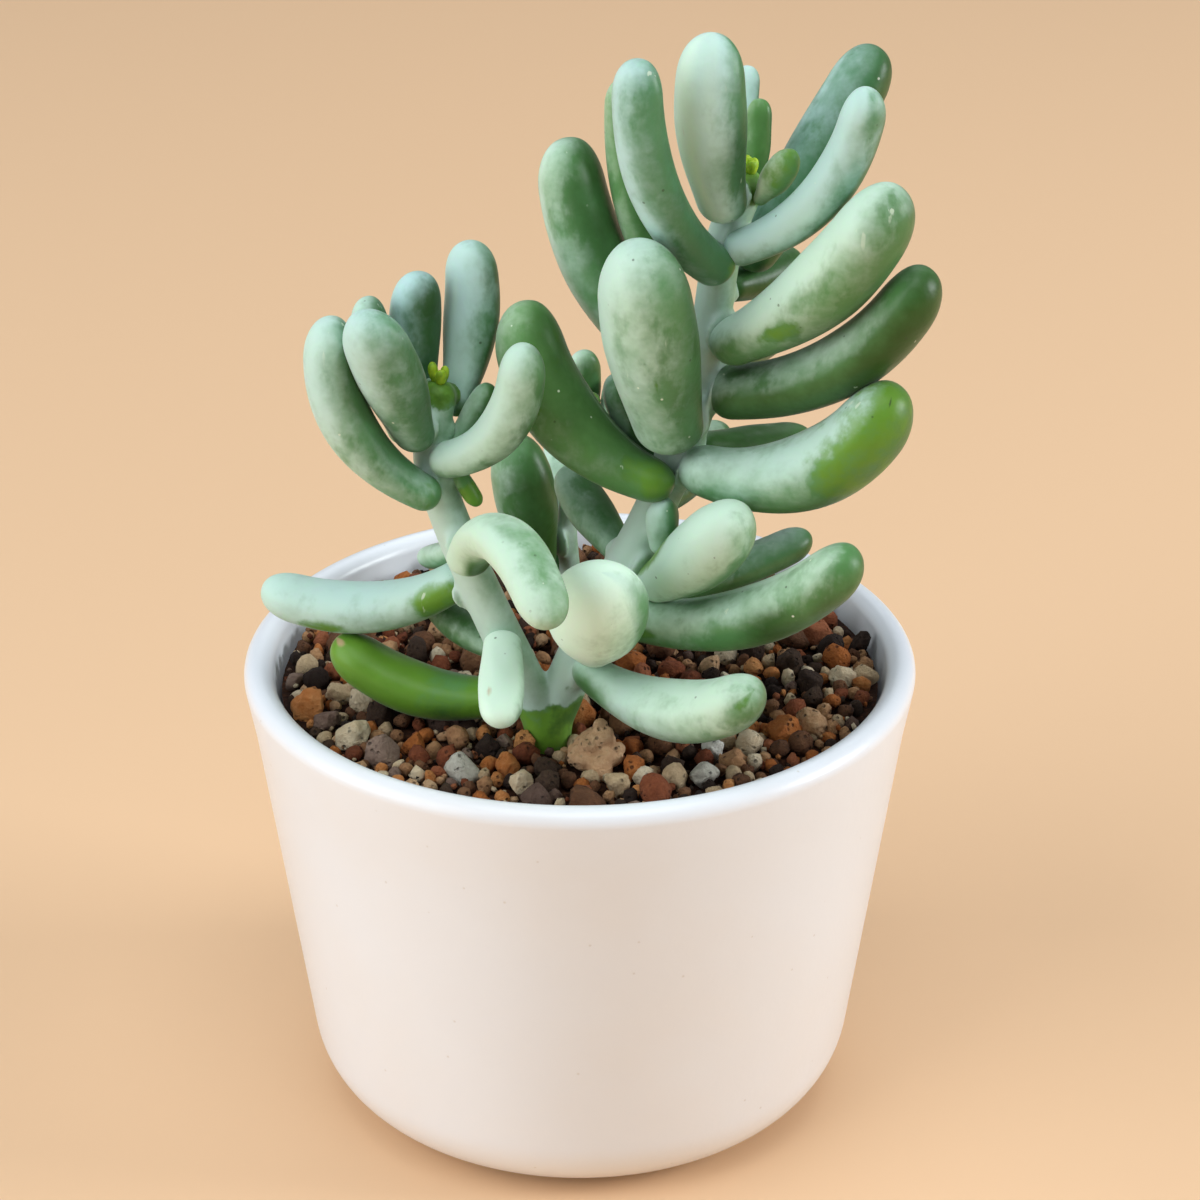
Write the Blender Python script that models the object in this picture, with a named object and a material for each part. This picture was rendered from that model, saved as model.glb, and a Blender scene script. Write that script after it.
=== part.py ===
"""Potted sedum: a plump-leaved succulent with a forked stem and a small back stem,
standing in gritty soil in a plain round pot. Lengths at the top are millimetres."""
import random
from math import atan2, cos, pi, radians, sin

import bmesh
import bpy
from mathutils import Euler, Matrix, Vector

MM = 0.001
GAP = 0.3                     # clearance between neighbouring pieces

# Pot
POT_HEIGHT = 58.0
POT_RIM_RADIUS = 40.0
POT_BASE_RADIUS = 32.0        # where the straight wall would meet the table
POT_WALL = 3.5
POT_FLOOR = 4.0
POT_CORNER = 10.5             # rounding between wall and underside
POT_SIDES = 48

# Soil
SOIL_TOP = 54.0               # flat bed that the grains sit in
SOIL_HIGHEST = 56.9           # no grain stands above this
GRAIN_COUNT = 145
GRAIN_SMALLEST = 1.9
GRAIN_LARGEST = 3.5
GRAIN_FORM = (1.1, 0.95, 0.8)  # squashed along its own axes
GRAIN_RISE = 0.75             # height of its top over the bed, as a share of its radius
GRAIN_SPACING = 0.74          # least distance apart, as a share of two radii
GRAIN_SEED = 11

# Stems: hand-set points (x, y, z) up each stem, then the radius at its foot and its tip
TALL_STEM = [(-3.5, -16.5, 34), (-3.5, -16.5, 54), (-2, -15.5, 60), (2.5, -13.5, 70),
             (8, -11, 80), (12.5, -9, 91), (14.5, -7.5, 100), (16, -6.5, 111),
             (18.6, -5.5, 118.5)]
LEFT_STEM = [(-3.7, -16.5, 53), (-4.1, -16.4, 57), (-5.8, -16, 61), (-10.5, -15, 71.5), (-14.5, -14, 81.5),
             (-16.5, -13, 89), (-15.5, -11.5, 96)]
BACK_STEM = [(-1, 17, 36), (-1, 17, 54.5), (-1.5, 16, 69), (1.5, 15, 84)]
STEMS = {"tall": (TALL_STEM, 2.55, 2.1), "left": (LEFT_STEM, 2.5, 2.0), "back": (BACK_STEM, 1.4, 1.1)}
HOLE_TOP = 70.0               # the hole cutter reaches well above the grains
HOLE_SIDES = 12

# Leaf form, as shares of a leaf's own length and width
FULLEST = 0.58                # where a leaf is widest
HEEL_CAP = 0.30               # length of the rounded heel over the leaf's width
TIP_CAP = 0.62                # length of the rounded tip over the leaf's width
TIP_TAPER = 0.10              # width lost between the fullest place and the tip
FLATTEN_ABOVE = 0.74          # half thickness of the upper face over half width
FLATTEN_BELOW = 0.94

# Leaves: stem, height on it, heading, rise and curl in degrees, length, width, the heel's share of the
# width, and how many degrees round the stem the heel sits from the heading.
# Heading 0 is to the right, 90 is away from the viewer. Curl bends the leaf upwards.
LEAVES = {
    "tall_leaf_01": ("tall", 117.6, -130, 67, 32, 20.6, 8.3, 0.69, 0),
    "tall_leaf_02": ("tall", 110.9, 220, 33, 64, 29.3, 6.4, 0.89, 19),
    "tall_leaf_03": ("tall", 96.2, 152, 36, 50, 30.7, 9.1, 0.52, 0),
    "tall_leaf_04": ("tall", 101.8, 146, 50, 44, 29.9, 5, 0.67, 0),
    "tall_leaf_05": ("tall", 92.9, -125, 68, 14, 26, 11.2, 0.71, 0),
    "tall_leaf_06": ("tall", 102.8, -27, 28, 37, 29.4, 10.4, 0.6, -22),
    "tall_leaf_07": ("tall", 113.5, -22, 20, 66, 25.6, 6.3, 0.75, -30),
    "tall_leaf_08": ("tall", 112.8, 34, 46, 10, 27.5, 8, 0.7, 0),
    "tall_leaf_09": ("tall", 96.2, -21, 3, 66, 30.2, 8.6, 0.84, 0),
    "tall_leaf_10": ("tall", 87.5, -16, -20, 93, 28.2, 10.4, 0.63, -20),
    "tall_leaf_11": ("tall", 89.2, 28, -18, 20, 14.5, 5.8, 0.66, 0),
    "tall_leaf_12": ("tall", 106.5, 50, -5, 12, 12, 6, 0.66, 0),
    "tall_leaf_13": ("tall", 84.6, 161, 7, 84, 27.3, 9.6, 0.58, 64),
    "tall_leaf_14": ("tall", 76.2, 128, 22, 20, 12, 5.6, 0.7, 0),
    "tall_leaf_15": ("tall", 76.4, -44, 36, 19, 18.4, 9.5, 0.58, 8),
    "tall_leaf_16": ("tall", 80, -72, 88, -6, 5.8, 3.8, 0.7, 0),
    "tall_leaf_17": ("tall", 71.4, -21, -7, 62, 31, 8.2, 0.68, 0),
    "tall_leaf_18": ("tall", 73.1, 26, -4, 21, 23.6, 5.2, 0.66, 0),
    "tall_leaf_19": ("tall", 67.4, -87, 48, 9, 20, 11.3, 0.4, 0),
    "tall_leaf_20": ("tall", 64, -38, -25, 71, 25.6, 8.3, 0.55, -17),
    "tall_leaf_21": ("tall", 87.5, 165, 46, 29, 10, 4.8, 0.66, 0),
    "tall_leaf_22": ("tall", 118.5, -52, 51, 5, 7.8, 4, 0.4, 0),
    "tall_leaf_23": ("tall", 118.5, 70, 79, 2, 9.9, 3.1, 0.65, 0),
    "tall_leaf_24": ("tall", 113.8, 78, 58, 12, 18.2, 3.3, 0.66, 0),
    "tall_leaf_25": ("tall", 98.5, 60, -18, 25, 17, 6, 0.66, 0),
    "tall_leaf_26": ("tall", 90, 112, 5, 40, 20, 6.5, 0.66, 0),
    "tall_leaf_27": ("tall", 82.5, 66, -4, 25, 17, 5.6, 0.66, 0),
    "left_leaf_01": ("left", 87, 186, 24, 79, 25.2, 7.2, 0.65, 53),
    "left_leaf_02": ("left", 92.8, -122, 66, -6, 19.8, 8, 0.59, 0),
    "left_leaf_03": ("left", 92.3, 176, 69, 16, 16.4, 5.2, 0.66, 0),
    "left_leaf_04": ("left", 96, 127, 78, 28, 15.5, 6.2, 0.69, 0),
    "left_leaf_05": ("left", 96.5, 58, 54, 48, 19, 6.6, 0.58, 0),
    "left_leaf_06": ("left", 89, -28, 12, 86, 20, 6.4, 0.75, -14),
    "left_leaf_07": ("left", 92.4, 6, 50, 20, 7.4, 4.2, 0.72, 0),
    "left_leaf_08": ("left", 79.6, -65, 67, -120, 27.2, 6.4, 0.81, 0),
    "left_leaf_09": ("left", 73.9, 166, -41, 61, 24.9, 7, 0.76, -13),
    "left_leaf_10": ("left", 77.2, 120, -36, 14, 9.2, 3.6, 0.66, 0),
    "left_leaf_11": ("left", 66.8, 135, 3, 31, 11.6, 5.3, 0.66, 0),
    "left_leaf_12": ("left", 61.3, 167, -22, 67, 21.9, 7.2, 0.71, 0),
    "left_leaf_13": ("left", 66.9, -90, -21, 7, 12.8, 5.2, 0.81, 0),
    "left_leaf_14": ("left", 86, -22, -62, 10, 4.6, 2.4, 0.66, 0),
    "left_leaf_15": ("left", 82, 100, 5, 40, 14, 5, 0.66, 0),
    "back_leaf_01": ("back", 80.1, 96, 87, 20, 10.5, 4.2, 0.66, 0),
    "back_leaf_02": ("back", 74.5, 5, 66, 25, 13.5, 4, 0.66, 0),
    "back_leaf_03": ("back", 65.5, 208, 82, -2, 17.3, 8.8, 0.62, 0),
    "back_leaf_04": ("back", 68, 95, 10, 30, 13, 4.6, 0.66, 0),
    "back_leaf_05": ("back", 56.8, 128, 84, 7, 9.5, 4, 0.6, 0),
}

BLADE_HEEL = 0.6              # width at a bud blade's foot, as a share of its width

# Buds at the stem tips: stem, core radius, then blades of heading, rise, length, width
BUDS = {
    "tall_tip_buds": ("tall", 0.9, [(200, 62, 2.6, 1.4), (290, 60, 2.4, 1.3), (20, 70, 2.2, 1.2),
                                    (110, 72, 2.4, 1.2)]),
    "left_tip_buds": ("left", 0.9, [(170, 70, 3.0, 1.4), (280, 62, 2.6, 1.3), (40, 68, 2.4, 1.2)]),
}


def clear_scene():
    for thing in list(bpy.data.objects):
        bpy.data.objects.remove(thing, do_unlink=True)


def smooth_step(x):
    x = min(max(x, 0.0), 1.0)
    return x * x * (3 - 2 * x)


def material(name, colour, roughness, metallic=0.0):
    made = bpy.data.materials.new(name)
    made.use_nodes = True
    shader = made.node_tree.nodes["Principled BSDF"]
    shader.inputs["Base Color"].default_value = (*colour, 1)
    shader.inputs["Roughness"].default_value = roughness
    shader.inputs["Metallic"].default_value = metallic
    return made


def add_object(name, shape, finish=None):
    """Turn a bmesh in millimetres into a named object in metres."""
    bmesh.ops.scale(shape, vec=(MM, MM, MM), verts=shape.verts)
    mesh = bpy.data.meshes.new(name)
    shape.to_mesh(mesh)
    shape.free()
    mesh.shade_smooth()
    thing = bpy.data.objects.new(name, mesh)
    bpy.context.collection.objects.link(thing)
    if finish:
        mesh.materials.append(finish)
    return thing


def as_guide(thing):
    thing.hide_render = True
    thing.display_type = "WIRE"


def boolean(target, operation, operand):
    change = target.modifiers.new(operation.title(), "BOOLEAN")
    change.operation = operation
    change.solver = "EXACT"
    change.object = operand
    as_guide(operand)


def apply_modifiers(thing):
    bpy.context.view_layer.update()
    graph = bpy.context.evaluated_depsgraph_get()
    mesh = bpy.data.meshes.new_from_object(thing.evaluated_get(graph))
    thing.modifiers.clear()
    thing.data = mesh


def join_all(thing, shapes):
    """Fuse many bmeshes into one object with a single union."""
    heap = bpy.data.collections.new("heap")
    bpy.context.scene.collection.children.link(heap)
    for shape in shapes:
        piece = add_object("piece", shape)
        bpy.context.collection.objects.unlink(piece)
        heap.objects.link(piece)
    join = thing.modifiers.new("Join", "BOOLEAN")
    join.operation = "UNION"
    join.solver = "EXACT"
    join.operand_type = "COLLECTION"
    join.collection = heap
    apply_modifiers(thing)
    for piece in list(heap.objects):
        bpy.data.objects.remove(piece, do_unlink=True)
    bpy.data.collections.remove(heap)


# Stems

def along(points, steps_between):
    """Catmull-Rom curve through the points."""
    path = [Vector(p) for p in points]
    padded = [2 * path[0] - path[1]] + path + [2 * path[-1] - path[-2]]
    curve = []
    for k in range(len(path) - 1):
        a, b, c, d = padded[k:k + 4]
        for s in range(steps_between):
            t = s / steps_between
            curve.append(0.5 * (2 * b + (c - a) * t + (2 * a - 5 * b + 4 * c - d) * t ** 2
                                + (3 * b - a - 3 * c + d) * t ** 3))
    return curve + [path[-1]]


def stem_at(stem, height):
    """Centre, direction and radius of a stem at a height."""
    points, foot, tip = STEMS[stem]
    curve = along(points, 8)
    for low, high in zip(curve, curve[1:]):
        if height <= high.z:
            break
    share = min(max((height - low.z) / (high.z - low.z), 0), 1)
    return low.lerp(high, share), (high - low).normalized(), stem_radius(stem, height)


def stem_radius(stem, height):
    points, foot, tip = STEMS[stem]
    share = (height - SOIL_TOP) / (points[-1][2] - SOIL_TOP)
    return foot + (tip - foot) * min(max(share, 0), 1)


def stem_curve(stem):
    """A tapered round stem, as a curve with closed ends."""
    curve = bpy.data.curves.new("stem_curve", "CURVE")
    curve.dimensions = "3D"
    curve.bevel_depth = MM
    curve.bevel_resolution = 2
    curve.use_fill_caps = True
    path = along(STEMS[stem][0], 3)
    spline = curve.splines.new("POLY")
    spline.points.add(len(path) - 1)
    for point, place in zip(spline.points, path):
        point.co = (*(place * MM), 1)
        point.radius = stem_radius(stem, place.z)
    thing = bpy.data.objects.new("stem_curve", curve)
    bpy.context.collection.objects.link(thing)
    return thing


def stem_shape(stem):
    """The stem's curve as a closed bmesh in millimetres."""
    thing = stem_curve(stem)
    bpy.context.view_layer.update()
    graph = bpy.context.evaluated_depsgraph_get()
    mesh = bpy.data.meshes.new_from_object(thing.evaluated_get(graph))
    shape = bmesh.new()
    shape.from_mesh(mesh)
    bpy.data.meshes.remove(mesh)
    bpy.data.objects.remove(thing, do_unlink=True)
    bmesh.ops.scale(shape, vec=(1 / MM, 1 / MM, 1 / MM), verts=shape.verts)
    bmesh.ops.remove_doubles(shape, verts=shape.verts, dist=0.001)
    bmesh.ops.recalc_face_normals(shape, faces=shape.faces)
    return shape


def build_stems(finish):
    """The tall stem with its left branch is one forked body. The back stem stands alone."""
    forked = add_object("forked_stem", stem_shape("tall"), finish)
    boolean(forked, "UNION", add_object("left_branch", stem_shape("left")))
    add_object("back_stem", stem_shape("back"), finish)


# Leaves

def direction(heading, rise):
    flat = cos(radians(rise))
    return Vector((cos(radians(heading)) * flat, sin(radians(heading)) * flat, sin(radians(rise))))


def cap(share, bluntness=2.2):
    """Rise of a rounded end, from 0 at its pole to 1 where the body begins."""
    return (1 - (1 - min(share, 1)) ** bluntness) ** (1 / bluntness)


def half_width(share, length, width, heel):
    """Half width along a leaf, between a blunt heel and a round tip."""
    swell = heel + (1 - heel) * smooth_step(share / FULLEST)
    taper = 1 - TIP_TAPER * smooth_step((share - FULLEST) / (1 - FULLEST))
    ends = cap(share * length / (HEEL_CAP * width)) * cap((1 - share) * length / (TIP_CAP * width))
    return width / 2 * swell * taper * ends


def leaf_path(start, heading, rise, curl, length, steps=40):
    path = [start.copy()]
    for k in range(steps):
        bend = rise + curl * (k + 0.5) / steps
        path.append(path[-1] + direction(heading, bend) * length / steps)
    return path


def bend_to_leaf(shape, start, heading, rise, curl, length, width, heel):
    """Move the vertices of a unit sphere, whose Z is the leaf's length, onto the leaf."""
    path = leaf_path(start, heading, rise, curl, length)
    steps = len(path) - 1
    side = direction(heading + 90, 0)
    for vert in shape.verts:
        share = min(max((vert.co.z + 1) / 2, 0), 1)
        k = min(int(share * steps), steps - 1)
        centre = path[k].lerp(path[k + 1], share * steps - k)
        up = direction(heading, rise + curl * share).cross(side)
        round_angle = atan2(vert.co.y, vert.co.x)
        half = half_width(share, length, width, heel)
        flat = FLATTEN_ABOVE if vert.co.y > 0 else FLATTEN_BELOW
        at_pole = vert.co.x ** 2 + vert.co.y ** 2 < 1e-9
        half = 0 if at_pole else half
        vert.co = centre + side * half * cos(round_angle) + up * half * flat * sin(round_angle)


def leaf_start(stem, height, heading, rise, width, heel, seat):
    """Foot of a leaf, so that its round heel clears the stem."""
    centre, axis, radius = stem_at(stem, height)
    outward = direction(heading + seat, 0)
    outward = (outward - axis * outward.dot(axis)).normalized()
    reach = heel * width / 2
    return centre + outward * (radius + GAP + reach) - direction(heading, rise) * reach


def leaf_shape(start, heading, rise, curl, length, width, heel, sides, rings):
    shape = bmesh.new()
    bmesh.ops.create_uvsphere(shape, u_segments=sides, v_segments=rings, radius=1)
    bend_to_leaf(shape, start, heading, rise, curl, length, width, heel)
    shape.normal_update()
    return shape


def build_leaf(name, finish):
    stem, height, heading, rise, curl, length, width, heel, seat = LEAVES[name]
    start = leaf_start(stem, height, heading, rise, width, heel, seat)
    sides, rings = (10, 10) if width > 5 else (8, 8)
    shape = leaf_shape(start, heading, rise, curl, length, width, heel, sides, rings)
    add_object(name, shape, finish)


def build_buds(name, finish):
    """Tiny blades round a small core, just clear of the stem's tip."""
    stem, core, blades = BUDS[name]
    tip, axis, radius = stem_at(stem, STEMS[stem][0][-1][2])
    centre = tip + axis * (core + GAP)
    shape = bmesh.new()
    bmesh.ops.create_uvsphere(shape, u_segments=8, v_segments=6, radius=core)
    bmesh.ops.translate(shape, vec=centre, verts=shape.verts)
    thing = add_object(name, shape, finish)
    join_all(thing, [leaf_shape(centre + direction(heading, 0) * core * 0.2, heading, rise, 15,
                                length, width, BLADE_HEEL, 6, 6)
                     for heading, rise, length, width in blades])


# Pot

def arc(centre_r, centre_z, radius, start, end, steps):
    """Points (r, z) on an arc, angles in degrees."""
    turned = []
    for k in range(steps + 1):
        angle = radians(start + (end - start) * k / steps)
        turned.append((centre_r + radius * cos(angle), centre_z + radius * sin(angle)))
    return turned


def turned_body(profile, sides):
    """Spin an (r, z) profile that starts and ends on the axis into a closed body."""
    shape = bmesh.new()
    verts = [shape.verts.new((r, 0, z)) for r, z in profile]
    edges = [shape.edges.new(pair) for pair in zip(verts, verts[1:])]
    bmesh.ops.spin(shape, geom=verts + edges, axis=(0, 0, 1), cent=(0, 0, 0), angle=2 * pi,
                   steps=sides, use_merge=True)
    bmesh.ops.remove_doubles(shape, verts=shape.verts, dist=0.001)
    bmesh.ops.recalc_face_normals(shape, faces=shape.faces)
    return shape


def wall_lean():
    """Outward lean of the pot's wall from upright, in degrees."""
    return atan2(POT_RIM_RADIUS - POT_BASE_RADIUS, POT_HEIGHT) * 180 / pi


def outer_radius(height):
    return POT_BASE_RADIUS + (POT_RIM_RADIUS - POT_BASE_RADIUS) * height / POT_HEIGHT


def corner_centre_r(radius, floor, inset):
    """Where an arc of this radius touches both the floor and the wall."""
    lean = radians(wall_lean())
    return outer_radius(floor + radius) - inset / cos(lean) - radius / cos(lean)


def pot_profile():
    lean = wall_lean()
    lip = POT_WALL / 2
    outside = arc(corner_centre_r(POT_CORNER, 0, 0), POT_CORNER, POT_CORNER, -90, -lean, 4)
    rim = arc(POT_RIM_RADIUS - lip, POT_HEIGHT - lip, lip, -lean, 180 - lean, 5)
    hollow = POT_CORNER - POT_WALL
    inside = arc(corner_centre_r(hollow, POT_FLOOR, POT_WALL), POT_FLOOR + hollow, hollow, -lean, -90, 3)
    return [(0, 0)] + outside + rim + inside + [(0, POT_FLOOR)]


def build_pot(finish):
    add_object("pot", turned_body(pot_profile(), POT_SIDES), finish)


# Soil

def soil_bed():
    """The fill of the pot below the grains, clear of the pot's inside."""
    lean = wall_lean()
    hollow = POT_CORNER - POT_WALL
    foot = POT_FLOOR + GAP
    corner = arc(corner_centre_r(hollow, foot, POT_WALL + GAP), foot + hollow, hollow, -90, -lean, 3)
    edge = outer_radius(SOIL_TOP) - (POT_WALL + GAP) / cos(radians(lean))
    return turned_body([(0, foot)] + corner + [(edge, SOIL_TOP), (0, SOIL_TOP)], POT_SIDES)


def grain_places():
    """Seeded places, radii and turns of the grains, all clear of the wall."""
    draw = random.Random(GRAIN_SEED)
    edge = outer_radius(SOIL_TOP) - POT_WALL - 2 * GAP
    places = []
    while len(places) < GRAIN_COUNT:
        radius = GRAIN_SMALLEST + (GRAIN_LARGEST - GRAIN_SMALLEST) * draw.random() ** 2
        reach = (edge - radius * 1.15) * draw.random() ** 0.5
        angle = draw.uniform(0, 2 * pi)
        spot = Vector((reach * cos(angle), reach * sin(angle), 0))
        if all((spot - other).length > GRAIN_SPACING * (radius + size) for other, size, turn in places):
            turn = Euler([draw.uniform(0, 2 * pi) for axis in range(3)])
            places.append((spot, radius, turn))
    return places


def grain(spot, radius, turn):
    shape = bmesh.new()
    bmesh.ops.create_icosphere(shape, subdivisions=1, radius=radius)
    form = turn.to_matrix() @ Matrix.Diagonal(GRAIN_FORM)
    top = min(SOIL_TOP + radius * GRAIN_RISE, SOIL_HIGHEST)
    for vert in shape.verts:
        vert.co = form @ vert.co
    highest = max(vert.co.z for vert in shape.verts)
    bmesh.ops.translate(shape, vec=spot + Vector((0, 0, top - highest)), verts=shape.verts)
    return shape


def hole_for(stem):
    """A plain round cutter, larger than the stem's foot by three gaps because stems lean."""
    points, foot, tip = STEMS[stem]
    bottom = points[0][2] - GAP
    depth = HOLE_TOP - bottom
    shape = bmesh.new()
    bmesh.ops.create_cone(shape, cap_ends=True, segments=HOLE_SIDES, depth=depth,
                          radius1=foot + 3 * GAP, radius2=foot + 3 * GAP)
    centre = Vector((points[0][0], points[0][1], bottom + depth / 2))
    bmesh.ops.translate(shape, vec=centre, verts=shape.verts)
    return shape


def build_soil(finish):
    bed = add_object("soil", soil_bed(), finish)
    join_all(bed, [grain(spot, radius, turn) for spot, radius, turn in grain_places()])
    for stem in ("tall", "back"):
        boolean(bed, "DIFFERENCE", add_object(f"hole_{stem}", hole_for(stem)))


def main():
    clear_scene()
    build_pot(material("pot_white", (0.85, 0.84, 0.82), 0.3))
    build_soil(material("soil_grit", (0.16, 0.09, 0.055), 0.9))
    build_stems(material("stem_green", (0.42, 0.58, 0.45), 0.6))
    leaf_green = material("leaf_green", (0.33, 0.50, 0.36), 0.5)
    for name in LEAVES:
        build_leaf(name, leaf_green)
    bud_green = material("bud_green", (0.50, 0.66, 0.12), 0.5)
    for name in BUDS:
        build_buds(name, bud_green)


main()
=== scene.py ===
"""Looks of the potted sedum: plump leaves with a waxy bloom, forked stems, loose grit and a white
glazed pot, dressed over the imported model. Lengths in the tables are millimetres."""

import random
from math import atan2, cos, degrees, hypot, pi, radians, sin

import bmesh
import bpy
from mathutils import Euler, Matrix, Vector, noise


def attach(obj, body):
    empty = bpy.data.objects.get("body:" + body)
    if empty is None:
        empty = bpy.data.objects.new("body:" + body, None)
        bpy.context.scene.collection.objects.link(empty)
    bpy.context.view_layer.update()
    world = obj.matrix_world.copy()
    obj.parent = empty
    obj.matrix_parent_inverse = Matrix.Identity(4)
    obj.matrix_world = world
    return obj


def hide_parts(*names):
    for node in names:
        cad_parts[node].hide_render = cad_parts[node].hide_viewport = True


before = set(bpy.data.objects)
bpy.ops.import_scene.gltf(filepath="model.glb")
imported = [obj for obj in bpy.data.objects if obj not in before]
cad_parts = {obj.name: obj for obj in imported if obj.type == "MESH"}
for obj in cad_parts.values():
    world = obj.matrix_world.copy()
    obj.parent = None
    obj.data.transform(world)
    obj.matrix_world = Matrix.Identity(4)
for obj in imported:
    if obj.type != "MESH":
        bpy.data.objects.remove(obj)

bl_info = {
    "name": "Potted sedum looks",
    "version": (1, 0, 0),
    "blender": (4, 5, 0),
    "location": "3D View > Sidebar > Sedum",
    "description": "Builds the finished leaves, stems, grit, pot and studio of a potted sedum",
    "category": "Object",
}

MM = 0.001

# Camera, as the photograph was taken
CAMERA_PLACE = (2.4, -361.64, 243.13)
CAMERA_DOWN = 26.3            # degrees below level
CAMERA_LENS = 102.1
SENSOR = 36.0

# Softboxes and the point they face, in metres
LEFT_LIGHT = (-0.95, -0.45, 0.55)
RIGHT_LIGHT = (0.95, -0.05, 0.38)
TOP_LIGHT = (0.0, -0.3, 1.2)
BACK_LIGHT = (0.1, 0.7, 0.9)
LIGHT_TARGET = (0.0, 0.0, 0.06)
LIGHT_COLOUR = (0.93, 0.98, 1.0)

# Pot
POT_HEIGHT = 58.0
POT_RIM_RADIUS = 40.0
POT_BASE_RADIUS = 32.0        # where the straight wall would meet the table
POT_WALL = 3.5
POT_FLOOR = 4.0
POT_CORNER = 10.5

# Soil
SOIL_TOP = 54.0
SOIL_HIGHEST = 56.9

# Stems: points (x, y, z) up each stem, then the radius at its foot and its tip
TALL_STEM = [(-3.5, -16.5, 34), (-3.5, -16.5, 54), (-2, -15.5, 60), (2.5, -13.5, 70),
             (8, -11, 80), (12.5, -9, 91), (14.5, -7.5, 100), (16, -6.5, 111),
             (18.6, -5.5, 118.5)]
LEFT_STEM = [(-3.7, -16.5, 53), (-4.1, -16.4, 57), (-5.8, -16, 61), (-10.5, -15, 71.5), (-14.5, -14, 81.5),
             (-16.5, -13, 89), (-15.5, -11.5, 96)]
BACK_STEM = [(-1, 17, 36), (-1, 17, 54.5), (-1.5, 16, 69), (1.5, 15, 84)]
STEMS = {"tall": (TALL_STEM, 2.55, 2.1), "left": (LEFT_STEM, 2.5, 2.0), "back": (BACK_STEM, 1.4, 1.1)}

# Leaf form, as shares of a leaf's own length and width
FULLEST = 0.58                # where a leaf is widest
HEEL_CAP = 0.30               # length of the rounded heel over the leaf's width
TIP_CAP = 0.62                # length of the rounded tip over the leaf's width
TIP_TAPER = 0.10              # width lost between the fullest place and the tip
FLATTEN_ABOVE = 0.74          # half thickness of the upper face over half width
FLATTEN_BELOW = 0.94
LEAF_SIDES = 44
LEAF_RINGS = 60
GAP = 0.3
LIT_AND_BLOOMED_SIDE = (-0.86, -0.1, 0.5)  # the side towards the key light, painted lighter with paler wax while the far side is painted in shade; the bloom is also thickest there
VIEW = (0.0, 0.9, -0.44)      # the way the viewer looks, from which marks are placed

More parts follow.
